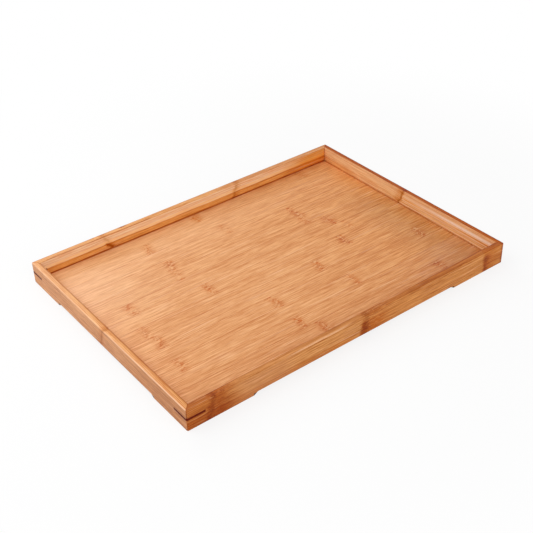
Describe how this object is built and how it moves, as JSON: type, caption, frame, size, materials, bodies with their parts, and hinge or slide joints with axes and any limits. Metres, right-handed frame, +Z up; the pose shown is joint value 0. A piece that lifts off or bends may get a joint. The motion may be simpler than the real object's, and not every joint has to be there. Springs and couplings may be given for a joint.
{
  "type": "gongfu tea tray",
  "caption": "Low rectangular bamboo tea tray: mitred frame, a tongued panel of glued staves in its groove, keyed left corners, cut-away underside leaving corner feet.",
  "frame": {"origin": "centre of the footprint on the table, under the tray", "axes": "+X along the front rail from left to right, +Y from front to back, +Z up"},
  "size_m": [0.4, 0.288, 0.0244],
  "materials": {
    "rail_bamboo": "carbonised bamboo, sanded smooth, thin satin lacquer",
    "stave_bamboo": "carbonised bamboo strips, flat grain with nodes, sanded flush, thin satin lacquer",
    "key_wood": "dark hardwood, sanded flush, thin satin lacquer"
  },
  "bodies": {
    "root": {"rail_front": "rail_bamboo", "rail_right": "rail_bamboo", "rail_back": "rail_bamboo", "rail_left": "rail_bamboo", "corner_key_front_left": "key_wood", "corner_key_back_left": "key_wood", "stave_01": "stave_bamboo", "stave_02": "stave_bamboo", "stave_03": "stave_bamboo", "stave_04": "stave_bamboo", "stave_05": "stave_bamboo", "stave_06": "stave_bamboo", "stave_07": "stave_bamboo", "stave_08": "stave_bamboo", "stave_09": "stave_bamboo", "stave_10": "stave_bamboo", "stave_11": "stave_bamboo", "stave_12": "stave_bamboo", "stave_13": "stave_bamboo", "stave_14": "stave_bamboo"}
  },
  "joints": []
}
